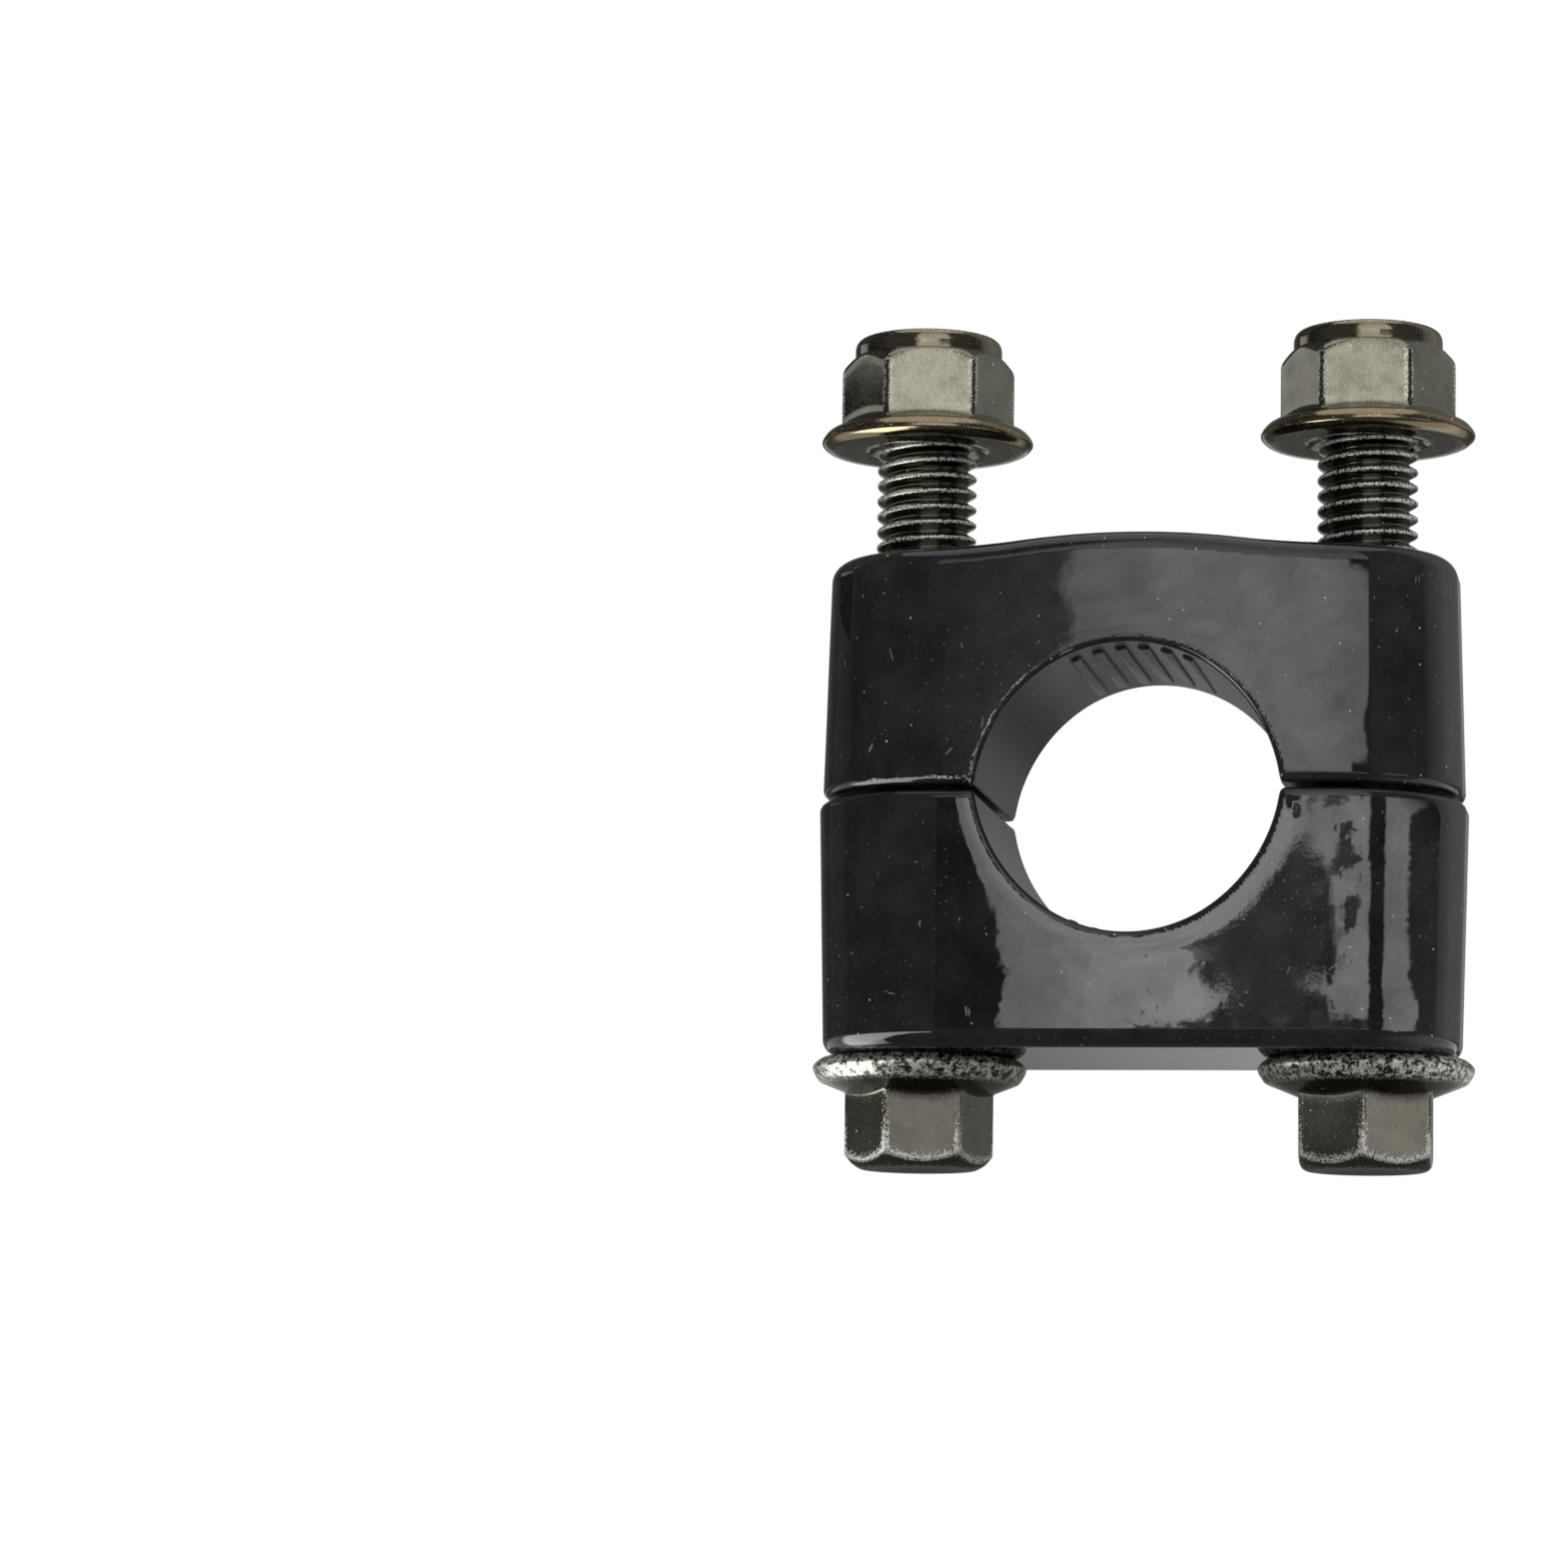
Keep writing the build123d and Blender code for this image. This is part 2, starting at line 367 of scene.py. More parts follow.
# %% [markdown]
# The low light is for the base. Torn dark paper hangs in front of it: one large sheet right of the
# bore whose lower part reaches left along the bottom, and a few scraps near the split. A narrow
# upright gap follows on the rounded end. The sheet is an outline of a few points, and the distance
# from it is roughened before it is cut off, which tears the edge. The paper is thin in places.

# %% Low light and torn paper
torn_sheet = (
    # x, z round the edge of the large sheet
    (11.3, -3.6), (14.2, -2.9), (15.1, -5.7), (15.6, -8), (16.2, -10.9), (16.2, -13.2), (14.5, -14.4),
    (15.4, -15.5), (15.4, -17.3), (18.6, -18.3), (18.6, -21), (0.8, -21), (1.3, -18.1), (6.4, -17.3),
    (8.2, -15.5), (6.2, -14.9), (5.9, -14.1), (5.3, -12), (3.9, -11.2), (5.9, -9.7), (7.3, -8.6),
    (9.3, -6.8),
)
scraps = (
    # x, z, half width, half height, slant, raggedness
    (16.6, -5.0, 0.95, 2.0, -0.12, 0.3),
    (17.1, -9.8, 0.4, 1.1, 0.1, 0.22),
    (14.0, -1.1, 0.6, 0.5, 0.2, 0.1),
    (16.1, -1.0, 0.85, 0.36, 0.3, 0.22),
    (17.8, -0.8, 0.22, 0.3, 0.0, 0.1),
)


def past_edge(x, z, outline):
    """Distance in millimetres from the edge of a sheet; negative where the sheet hangs."""
    corners = np.array(outline)
    nearest, inside = np.full(x.shape, np.inf), np.zeros(x.shape, bool)
    for (ax, az), (bx, bz) in zip(corners, np.roll(corners, -1, axis=0)):
        share = ((x - ax) * (bx - ax) + (z - az) * (bz - az)) / ((bx - ax)**2 + (bz - az)**2)
        share = np.clip(share, 0, 1)
        nearest = np.minimum(nearest, np.hypot(x - ax - share * (bx - ax), z - az - share * (bz - az)))
        crosses = (az > z) != (bz > z)
        inside ^= crosses & (x < ax + (z - az) * (bx - ax) / (bz - az if bz != az else 1))
    return np.where(inside, -nearest, nearest)


def low_pattern(across, up):
    """Brightness of the low light behind its torn paper."""
    x, z = on_front(across, up, False)
    ragged = uneven(x, z, (1.0, 2.6, 41), (0.7, 0.95, 42), (0.5, 0.42, 43))
    fringe = uneven(0.3 * x, z, (1.0, 0.36, 47), (0.8, 0.2, 48))
    left = -9.15 + 0.8 * hump(z, -15.3, 1.3) + 0.1 * ragged
    level = ramp(x, left - 0.1, left + 0.14) * (0.72 + 0.65 * ramp(x, -9, 2) - 0.35 * ramp(x, 7, 13))
    sheet = past_edge(x, z, torn_sheet) + 0.2 * ragged + 0.24 * fringe
    worn_through = ramp(uneven(0.5 * x, z, (1.0, 0.9, 50)), 1.0, 1.8)
    thin = 0.08 + uneven(x, z, (0.05, 1.2, 49)) + 0.5 * worn_through
    level = level * (thin + (1 - thin) * ramp(sheet, -0.1, 0.1))
    for middle_x, middle_z, half_width, half_height, slant, raggedness in scraps:
        away_z = z - middle_z
        away_x = x - middle_x - slant * away_z
        reach = np.hypot(away_x / half_width, away_z / half_height) - 1
        off_scrap = ramp(reach * min(half_width, half_height) + raggedness * ragged, -0.08, 0.08)
        level = level * (0.12 + 0.88 * off_scrap)
    past_start, past_end = x - 18.4 - 0.07 * ragged, x - 19.5 - 0.05 * ragged
    level = level * (1 - ramp(past_start, -0.1, 0.1) + ramp(past_end, -0.1, 0.1))
    far_end = 21.3 + 1.5 * hump(z, -1.2, 0.9) + 0.8 * hump(z, -18, 2) + 0.06 * ragged + 0.06 * fringe
    level = level * (1 - ramp(x, far_end - 0.12, far_end + 0.12)) * (1 - 0.2 * ramp(x, 18, 19.5))
    cloud = uneven(x, z, (0.08, 5.0, 44), (0.06, 1.6, 45), (0.05, 0.6, 46))
    level = level + 0.05 * ramp(x, 19.6, 20.2)
    return np.clip(level * (1 + cloud) * (1 - ramp(up, 4.6, 5.4)), 0, None)


print("torn sheet", len(torn_sheet), "corners and", len(scraps), "scraps")

# %% [markdown]
# The screens themselves are patches of spheres, fine enough for their patterns. A wall of dull greys
# goes all the way round behind the lights, dark at the left and in front. A white board overhead
# lights the top edges, and a card at the far left gives the left nut its bright side.

# %% Studio screens
def steps(low, high, step):
    """Even steps from low to high, both included."""
    return np.linspace(low, high, max(2, round((high - low) / step) + 1))


def store(mesh, name, values):
    """Keep one number per point for a material to read."""
    mesh.attributes.new(name, "FLOAT", "POINT").data.foreach_set("value", values)


def quads(index):
    """Faces between the rows and columns of a grid of point numbers."""
    corners = [index[:-1, :-1], index[:-1, 1:], index[1:, 1:], index[1:, :-1]]
    return np.stack(corners, axis=-1).reshape(-1, 4).tolist()


def stand_up(name, mesh, only_mirrored=False):
    """Add a studio piece that the camera doesn't see, and that may show in reflections only."""
    made = new_object(name, mesh)
    made.visible_camera = False
    made.visible_diffuse = made.visible_shadow = not only_mirrored
    print(name, "faces", len(mesh.polygons))


def screen(name, strength, distance, bearings, heights, pattern, only_mirrored=False):
    """A glowing patch of a sphere round the riser, as bright as the pattern says at each point."""
    across, up = np.meshgrid(bearings, heights)
    turn, rise = np.radians(across), np.radians(up)
    points = np.stack([
        np.sin(turn) * np.cos(rise), -np.cos(turn) * np.cos(rise), np.sin(rise),
    ], axis=-1).reshape(-1, 3) * distance
    mesh = bpy.data.meshes.new(name)
    mesh.from_pydata(points.tolist(), [], quads(np.arange(across.size).reshape(across.shape).T))
    store(mesh, "brightness", np.broadcast_to(pattern(across, up), across.shape).ravel())
    material = new_material(name + "_glow")
    add("OutputMaterial", None, {"Surface": glow(times(point_value("brightness"), strength))})
    mesh.materials.append(material)
    stand_up(name, mesh, only_mirrored)


def bounce_pattern(across, up):
    """Brightness of the board overhead."""
    return ramp(up, 14, 17) * (1 - 0.4 * ramp(up, 20, 60)) * ramp(across, -14, -9)


def card_pattern(across, up):
    """Brightness of the card at the far left, with a step in its lower edge."""
    return ramp(up - ramp(across, -115, -113), 12.15, 12.3) * (1 - ramp(across, -107, -104))


wall_bearings = [-180, -152, -130, -124, -102, -96, -60, 96, 104, 128, 150, 165, 180]
wall_levels = [0.30, 0.10, 0.05, 0.10, 0.10, 0.04, 0.10, 0.10, 0.30, 0.45, 0.24, 0.17, 0.30]
end_bearing = middle_bearing + bearing_per_mm * flat_end
on_flat = (-9.4, end_bearing)
screen("studio_wall", 1.0, 1.3, steps(-180, 180, 2), steps(-2.5, 62, 2),
       lambda across, up: np.interp(across, wall_bearings, wall_levels), only_mirrored=True)
screen("strip_light", 2.5, 1.0, np.append(steps(*on_flat, 0.06), steps(end_bearing + 0.8, 42, 0.8)),
       steps(10.3, 18, 0.06), strip_pattern)
screen("ceiling_bounce", 1.3, 1.1, steps(-14, 41.5, 1.5), steps(14, 70, 1.5), bounce_pattern)
screen("left_card", 0.7, 1.2, steps(-128, -104, 1), steps(11, 17, 0.1), card_pattern)
screen("low_light", 3.2, 1.0, np.append(steps(*on_flat, 0.03), steps(end_bearing + 0.8, 110, 0.8)),
       steps(0.6, 5.4, 0.03), low_pattern)

# %% [markdown]
# The dark table lies a hair below the floor and shows in reflections only: the rolled lower edges,
# the flat seat and the bolts mirror it at a low angle. A white card lies round the base's left end,
# with a wavy inner edge, and gives the bright streak low on that end. Light beside and behind the
# riser is for the bolts, and the far stretch for the seat. Every patch is a level with soft limits.

# %% Dark table
table_radius, table_drop = 1250 * mm, 0.3 * mm
table_white = (0.97, 1.0, 0.95, 1)


def patch(level, *limits):
    """A level that holds inside limits: a value, where it goes out and where it is full, in mm."""
    for value, out, full in limits:
        level = times(level, between(value, out * mm, full * mm))
    return level


table_top = new_material("table_top")
spot = add("NewGeometry").outputs["Position"]
place = add("SeparateXYZ", None, {0: spot})
right, back = place.outputs["X"], place.outputs["Y"]
sideways = calculate("ABSOLUTE", right, 0.0)
near_and_far = between(back, 110 * mm, 170 * mm, 0.12, 0.07)
far_behind = patch(1.4, (back, 350, 400), (back, 560, 490), (right, 40, 0))
beside = patch(0.42, (right, -40, 15), (back, 25, 60), (back, 170, 110))
sides = patch(0.6, (sideways, 24, 38), (back, -25, -5), (back, 90, 60))

end_x = plus(right, flat_end * mm)
end_y = calculate("SUBTRACT", -(12 - end_radius) * mm, back)
bearing = calculate("ARCTAN2", end_x, end_y)
from_end = add("CombineXYZ", None, {0: end_x, 1: end_y}).outputs[0]
reach = add("VectorMath", {"operation": "LENGTH"}, {0: from_end}).outputs["Value"]
reach = plus(reach, times(noise(spot, 9 * mm), 14 * mm))
near_side = between(bearing, radians(-50), radians(-14), 18 * mm, 58 * mm)
past_near = calculate("SUBTRACT", reach, near_side)
card = times(
    patch(5.5, (past_near, 0, 6), (reach, 110, 80)),
    between(bearing, radians(-102), radians(-92)), between(bearing, radians(-8.5), radians(-8.9)),
)
level = plus(near_and_far, far_behind, beside, highest(card, sides))
add("OutputMaterial", None, {"Surface": glow(level, table_white)})
table = disc("dark_table", table_radius, floor_level - table_drop, table_top)
stand_up("dark_table", table, only_mirrored=True)

# %% [markdown]
# Turned and forged pieces are built as a stack of rings: each ring runs once round the bolt's axis
# and has a height and a radius, which may differ from column to column. A circle and a hexagon are
# then the same kind of thing, and one surface runs from a round flange into a six-sided head
# without a seam. Columns crowd at the hexagon's corners, where the shape turns fastest.

# %% Rings round an axis
side_angle = radians(60)
corner_share = 0.16


def ring_columns(flat_steps=9, corner_steps=6):
    """Angles round the axis from one corner of a hexagon, closer together at its corners."""
    half = side_angle / 2
    turn = half * corner_share
    corner = np.linspace(-turn, turn, corner_steps, endpoint=False)
    flat = np.linspace(turn, side_angle - turn, flat_steps, endpoint=False)
    side = np.concatenate([corner, flat])
    return np.concatenate([side + k * side_angle for k in range(6)])


def hexagon_radius(angles, across_flats, corner_round):
    """Distance from the axis to a hexagon whose corners are rounded off, with a corner at angle 0."""
    from_corner = (angles + side_angle / 2) % side_angle - side_angle / 2
    from_flat = side_angle / 2 - np.abs(from_corner)
    centre = (across_flats / 2 - corner_round) / cos(side_angle / 2)
    on_flat = across_flats / 2 / np.cos(from_flat)
    end_of_flat = atan2((across_flats / 2 - corner_round) * tan(side_angle / 2), across_flats / 2)
    inside = np.maximum(corner_round**2 - (centre * np.sin(from_corner))**2, 0)
    on_corner = centre * np.cos(from_corner) + np.sqrt(inside)
    return np.where(from_flat < end_of_flat, on_flat, on_corner)


print("points in a ring", len(ring_columns()))

# %% [markdown]
# The side view of such a piece is a short list of stations: a radius, a height, how far its corner
# is rounded off, and how worn that edge is. The rings follow from it, six round every corner, and
# a few more where two would lie far apart. The mesh is one surface through all of them.

# %% From a side view to a mesh
longest_gap = 0.7 * mm


def soften_profile(stations, columns, most_of_gap=0.45, corner_rings=6):
    """Rings and their wear along a side view. A station is (radius, height, rounding, wear)."""
    full = [np.broadcast_to(np.asarray(v, float), columns.shape) for s in stations for v in s[:2]]
    line = np.stack(full).reshape(len(stations), 2, -1)
    rings, wear = [], []
    for k, (_, _, rounding, worn) in enumerate(stations):
        here = line[k]
        if rounding == 0 or k in (0, len(stations) - 1):
            rings.append(here)
            wear.append(worn)
            continue
        before, after = line[k - 1] - here, line[k + 1] - here
        gap_before, gap_after = (np.linalg.norm(v, axis=0) for v in (before, after))
        start = here + before * np.minimum(rounding / gap_before, most_of_gap)
        end = here + after * np.minimum(rounding / gap_after, most_of_gap)
        for share in np.linspace(0, 1, corner_rings):
            rings.append((1 - share)**2 * start + 2 * share * (1 - share) * here + share**2 * end)
            wear.append(worn)
    return rings, wear


def fill_long_gaps(rings, wear):
    """More rings between two that lie far apart, so that unevenness has points to move."""
    filled, filled_wear = rings[:1], wear[:1]
    for before, after, worn_before, worn_after in zip(rings, rings[1:], wear, wear[1:]):
        parts = max(1, int(np.ceil(np.linalg.norm(after - before, axis=0).max() / longest_gap)))
        for part in range(1, parts + 1):
            filled.append(before * (1 - part / parts) + after * (part / parts))
            filled_wear.append(worn_after if part == parts else min(worn_before, worn_after) / 2)
    return filled, filled_wear


def mesh_from_rings(name, rings, columns, closed=False):
    """One surface through all rings. It joins up into a loop, or ends in a face at both ends."""
    line = np.stack(rings)
    points = np.stack([
        line[:, 0] * np.cos(columns), line[:, 0] * np.sin(columns), line[:, 1],
    ], axis=-1)
    index = np.arange(line[:, 0].size).reshape(len(rings), -1)
    ends = [] if closed else [index[0][::-1].tolist(), index[-1].tolist()]
    if closed:
        index = np.vstack([index, index[:1]])
    mesh = bpy.data.meshes.new(name)
    faces = quads(np.hstack([index, index[:, :1]])) + ends
    mesh.from_pydata(points.reshape(-1, 3).tolist(), [], faces)
    mesh.shade_smooth()
    return mesh


def read_points(mesh):
    """A mesh's points as rows of three numbers."""
    co = np.zeros(len(mesh.vertices) * 3)
    mesh.vertices.foreach_get("co", co)
    return co.reshape(-1, 3)


def place_piece(name, mesh, node, body, material):
    """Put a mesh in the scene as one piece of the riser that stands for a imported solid."""
    mesh.materials.append(material)
    made = new_object(name, mesh)
    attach(made, body)
    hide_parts(node)
    mesh.calc_loop_triangles()
    print(name, "triangles", len(mesh.loop_triangles))


def place_turned(name, mesh, dents, node, body, turn, level):
    """Dent a turned piece a little, turn it about its own axis and stand it where its solid is."""
    low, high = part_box(node)
    co = read_points(mesh)
    radius = np.maximum(np.hypot(co[:, 0], co[:, 1]), 1 * mm)
    co[:, :2] *= (1 - dents / radius)[:, None]
    turned = np.array(Matrix.Rotation(radians(turn), 3, "Z"))
    co = co @ turned.T + np.array([(low.x + high.x) / 2, 0, level])
    mesh.vertices.foreach_set("co", co.ravel())
    mesh.update()
    place_piece(name, mesh, node, body, plated_steel)


# %% [markdown]
# The bolts are M8 with a low hexagon on a sloped flange. The thread is a real helix: at every height
# the ring is a circle pushed in by the thread's own profile, which turns once in 1.25 mm. Rings a
# sixteenth of a pitch apart keep the crests crisp. The head's hexagon is cut by a cone at its end
# and runs into the flange in shallow arcs, because the flange's slope meets corners lower than flats.

# %% Flange bolts
thread_pitch = 1.25 * mm
thread_depth = 0.72 * mm
thread_start = 33.0 * mm
rings_per_pitch = 16
bolt_radius = 3.95 * mm
bolt_point = 0.9 * mm
flange_radius = 8.4 * mm
flange_slope = tan(radians(22))
head_across_flats = 10.2 * mm
head_corner_round = 0.35 * mm
head_rim = 1.7 * mm
head_end_radius = 4.5 * mm
head_end_slope = tan(radians(40))
dish_radius, dish_depth = 3.7 * mm, 0.35 * mm
seat_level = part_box("lower_clamp_half")[0].z


def thread_profile(turns):
    """How deep the thread is cut, from 0 on a crest to 1 at a root, for a place counted in turns."""
    return (0.5 - 0.5 * np.cos(2 * pi * turns)) ** 1.25


def flange_bolt(name, node, body, turn):
    """A bolt with its head down: rings from the dished end up to the point of the thread."""
    low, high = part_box(node)
    length, head = high.z - seat_level, seat_level - low.z
    columns = ring_columns()
    hexagon = hexagon_radius(columns, head_across_flats, head_corner_round)
    neck = (flange_radius - hexagon) * flange_slope + head_rim
    cone = hexagon - head_end_radius
    stations = [
        (dish_radius * share, dish_depth * (1 - share**2) - head, 0, 0.0)
        for share in np.linspace(0.06, 1, 7)[:-1]
    ]
    stations += [
        (dish_radius, -head, 0.15 * mm, 0.6),
        (head_end_radius, -head, 0.2 * mm, 0.5),
        (head_end_radius + cone / 2 + 0.1 * mm, -head + 0.32 * cone, 0.3 * mm, 0.15),
        (hexagon, -head + cone * head_end_slope, 0.12 * mm, 0.8),
        (hexagon, -neck, 0.2 * mm, 0.2),
        (flange_radius - 0.5 * mm, -head_rim - 0.5 * mm * flange_slope, 0.3 * mm, 0.7),
        (flange_radius, -head_rim * 0.62, 0.5 * mm, 1.0),
        (flange_radius, -head_rim * 0.38, 0.4 * mm, 1.0),
        (flange_radius - 0.75 * mm, 0, 0.4 * mm, 0.8),
        (bolt_radius, 0, 0.15 * mm, 0.0),
        (bolt_radius, thread_start - 1 * mm, 0, 0.0),
    ]
    rings, wear = fill_long_gaps(*soften_profile(stations, columns))
    heights = np.arange(thread_start, length, thread_pitch / rings_per_pitch)
    for height in np.append(heights, length):
        cut = thread_profile(height / thread_pitch - columns / (2 * pi))
        fade_in = np.clip((height - thread_start) / thread_pitch, 0, 1)
        radius = bolt_radius - thread_depth * cut * fade_in
        radius = np.minimum(radius, bolt_radius - bolt_point + (length - height))
        rings.append(np.stack([radius, np.full(columns.shape, height)]))
        wear.append(0.0)
    mesh = mesh_from_rings(name, rings, columns)
    co = read_points(mesh)
    radius, down = np.hypot(co[:, 0], co[:, 1]), -co[:, 2]
    crest = np.clip((radius - bolt_radius + 0.14 * mm) / (0.1 * mm), 0, 1) * (down < -thread_start)
    corner = ramp(radius, hexagon.max() - 0.22 * mm, hexagon.max() - 0.08 * mm) * (down > neck.min())
    corner *= 0.35 + 0.5 * ramp(down, head * 0.45, head * 0.85)
    worn = np.repeat(wear, len(columns))
    store(mesh, "wear", np.maximum.reduce([worn, 0.74 * crest, corner]))
    store(mesh, "knocked", ramp(radius, flange_radius - 0.9 * mm, flange_radius - 0.5 * mm) * (down > 0))
    soiled_head = ramp(down, head_rim, head_rim + 0.6 * mm)
    store(mesh, "soiled", np.maximum(soiled_head, 0.7 * ramp(-down, 0, 1 * mm)))
    dents = np.abs(waves(co, 5 * mm, seed=11)) * 0.02 * mm * (down > 0)
    place_turned(name, mesh, dents, node, body, turn, seat_level)


# %% [markdown]
# The steel is zinc plated and then passivated dark olive. Handling has rubbed it bright along every
# edge and on the thread's crests. The nuts' front flats carry brushed streaks in a lighter steel
# colour. This is partly a painted highlight, since only the flat turned to the front gets it. Their
# flange rims and collars have a brassy sheen, the bolts' flange rims are knocked and speckled all
# over, and heads and thread are soiled. The pieces carry a value for each of the five on their
# points, and fine noises break them up.

# %% Dark plated steel
olive_dark, olive_light = (0.180, 0.173, 0.132), (0.265, 0.255, 0.205)
brass_tint, grime = (0.26, 0.205, 0.12), (0.095, 0.088, 0.078)
# The lighter steel on the nuts' front flats is partly a painted highlight.
highlit_brushed_steel, bare_steel = (0.52, 0.49, 0.39), (0.83, 0.82, 0.78)
worn_rim, dark_scale = (0.42, 0.36, 0.24), (0.045, 0.043, 0.034)

plated_steel = new_material("dark_plated_steel_finish")
where = add("TexCoord").outputs["Object"]
wear, brushed_and_highlit, brassy, knocked, soiled = (
    point_value(kind) for kind in ("wear", "brushed_and_highlit", "brassy", "knocked", "soiled")
)
cloud = noise(where, 2.5 * mm, detail=4, roughness=0.6)
grain = noise(where, 0.17 * mm, detail=3, roughness=0.7)
blots = noise(where, 0.5 * mm, detail=5, roughness=0.8)
tall = add("Mapping", None, {"Vector": where, "Scale": (1.0, 1.0, 0.35)}).outputs[0]
strokes = noise(tall, 0.13 * mm, detail=4, roughness=0.7)
streaks = plus(times(cloud, 0.5), strokes)
# Brushed streaks on each nut's front flat, made lighter there as a painted highlight.
highlit_streaks = times(brushed_and_highlit, between(streaks, 0.71, 0.90))
olive = blend_colours(between(cloud, 0.35, 0.65), olive_dark, olive_light)
olive = coats(
    olive, (brassy, 0.85, brass_tint), (soiled, 0.65, grime), (highlit_streaks, 1.0, highlit_brushed_steel),
    (knocked, 0.5, worn_rim), (knocked, between(blots, 0.53, 0.47), dark_scale),
)
rubbed = plus(times(wear, between(knocked, 0.0, 1.0, 0.36, 0.06)), grain)
dots = specks(where, 1.1 * mm, 0.12 * mm, 0.30)
knocks = plus(times(blots, 0.7), times(grain, 0.3))
knocks = times(knocked, between(knocks, 0.485, 0.525))
rubbed = highest(between(rubbed, 0.70, 0.78), dots, knocks)
dull = times(highest(highlit_streaks, rubbed, knocked), 0.22)
satin = times(highest(brushed_and_highlit, soiled, times(brassy, 0.6)), 0.13)
rough = plus(between(grain, 0.3, 0.7, 0.05, 0.12), dull, satin)
pits = times(plus(times(knocked, 1.2), times(wear, 0.35)), blots)
finish_surface(
    blend_colours(rubbed, olive, bare_steel), rough, plus(times(cloud, 0.1), pits),
    strength=0.5, depth=0.06 * mm, Metallic=between(rubbed, 0.0, 1.0, 1.0, 0.45),
)

flange_bolt("left_flange_bolt", "left_bolt", "bolt_left", turn=11.4)
flange_bolt("right_flange_bolt", "right_bolt", "bolt_right", turn=32.0)

# %% [markdown]
# A locking nut is a ring all through, so its side view is a closed loop: out along the seat, round
# the flange, up the hexagon, over the crimped collar, down inside past the nylon ring's pocket and
# back through the bore. The hexagon's top is cut by a shallow cone, which leaves the arcs that
# every nut has, and the collar above it is rolled inwards to hold the nylon.

# %% Flange locking nuts
nut_across_flats = 12.0 * mm
nut_corner_round = 0.5 * mm
nut_rim = 1.3 * mm
nut_hex_top = 7.4 * mm
nut_end_radius = 5.95 * mm
nut_end_slope = tan(radians(42))
nut_bore = 4.0 * mm
countersink = 0.75 * mm
collar_radius = 5.85 * mm
pocket_radius = 4.95 * mm
lip_radius = 4.5 * mm
lip_thickness = 0.4 * mm
ring_height = 1.9 * mm


def lock_nut(name, node, body, turn):
    """A nut with its seat down: one closed loop of rings."""
    low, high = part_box(node)
    top = high.z - low.z
    columns = ring_columns()
    hexagon = hexagon_radius(columns, nut_across_flats, nut_corner_round)
    foot = (flange_radius - hexagon) * flange_slope + nut_rim
    pocket_floor = top - lip_thickness - ring_height
    stations = [
        (nut_bore, countersink, 0, 0.0),
        (nut_bore + countersink, 0, 0.1 * mm, 0.3),
        (flange_radius - 0.6 * mm, 0, 0.35 * mm, 0.1),
        (flange_radius, nut_rim * 0.35, 0.4 * mm, 0.15),
        (flange_radius, nut_rim * 0.65, 0.4 * mm, 0.25),
        (flange_radius - 0.5 * mm, nut_rim + 0.5 * mm * flange_slope, 0.4 * mm, 0.15),
        (hexagon, foot, 0.25 * mm, 0.1),
        (hexagon, nut_hex_top - (hexagon - nut_end_radius) * nut_end_slope, 0.45 * mm, 0.2),
        (nut_end_radius, nut_hex_top, 0.08 * mm, 0.2),
        (collar_radius, nut_hex_top + 0.05 * mm, 0.05 * mm, 0.0),
        (collar_radius, top - 0.5 * mm, 0.6 * mm, 0.2),
        (collar_radius - 0.5 * mm, top, 0.6 * mm, 0.5),
        (lip_radius, top - 0.03 * mm, 0.1 * mm, 0.5),
        (lip_radius, top - lip_thickness, 0.05 * mm, 0.0),
        (pocket_radius, top - lip_thickness, 0, 0.0),
        (pocket_radius, pocket_floor, 0, 0.0),
        (nut_bore, pocket_floor, 0, 0.0),
        (nut_bore, countersink + 0.3 * mm, 0, 0.0),
    ]
    rings, wear = fill_long_gaps(*soften_profile(stations, columns))
    mesh = mesh_from_rings(name, rings, columns, closed=True)
    co = read_points(mesh)
    radius, up = np.hypot(co[:, 0], co[:, 1]), co[:, 2]
    corner = ramp(radius, hexagon.max() - 0.25 * mm, hexagon.max() - 0.1 * mm) * (radius < hexagon.max())
    worn = np.repeat(wear, len(columns))
    store(mesh, "wear", np.maximum(worn, 0.6 * corner * (up > foot.max())))
    # Only the flat turned to the front gets the lighter brushed streaks, which makes them partly a
    # painted highlight.
    from_front = np.abs((np.arctan2(co[:, 1], co[:, 0]) + pi / 2 + pi) % (2 * pi) - pi)
    on_hexagon = (up > nut_rim + 1.0 * mm) & (up < nut_hex_top - 0.2 * mm)
    store(mesh, "brushed_and_highlit", 1.0 * (on_hexagon & (from_front < radians(28.5))))
    on_collar = ramp(up, nut_hex_top, nut_hex_top + 0.3 * mm) * (radius > lip_radius)
    brassy = np.maximum(ramp(radius, flange_radius - 1.4 * mm, flange_radius - 0.5 * mm), 0.5 * on_collar)
    store(mesh, "brassy", brassy)
    dents = np.abs(waves(co, 6 * mm, seed=21)) * 0.004 * mm * (radius > lip_radius + 0.6 * mm)
    place_turned(name, mesh, dents, node, body, turn, low.z)


lock_nut("left_lock_nut", "left_nut", "nut_left", turn=10.1)
lock_nut("right_lock_nut", "right_nut", "nut_right", turn=2.4)

# %% [markdown]
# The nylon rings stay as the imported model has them. They are off-white and lightly scuffed, so a
# half-matt plastic with a fine mottle is enough.

# %% Nylon rings
nylon = new_material("nylon_finish")
cloud = noise(add("TexCoord").outputs["Object"], 0.8 * mm, detail=3)
colour = blend_colours(cloud, (0.55, 0.53, 0.46), (0.68, 0.66, 0.60))
finish_surface(colour, 0.45, cloud, strength=0.2, depth=0.03 * mm)

for node in ("left_nut_insert", "right_nut_insert"):
    frame["nodes"][node].data.materials[0] = nylon
    print(node, "keeps its packed mesh")

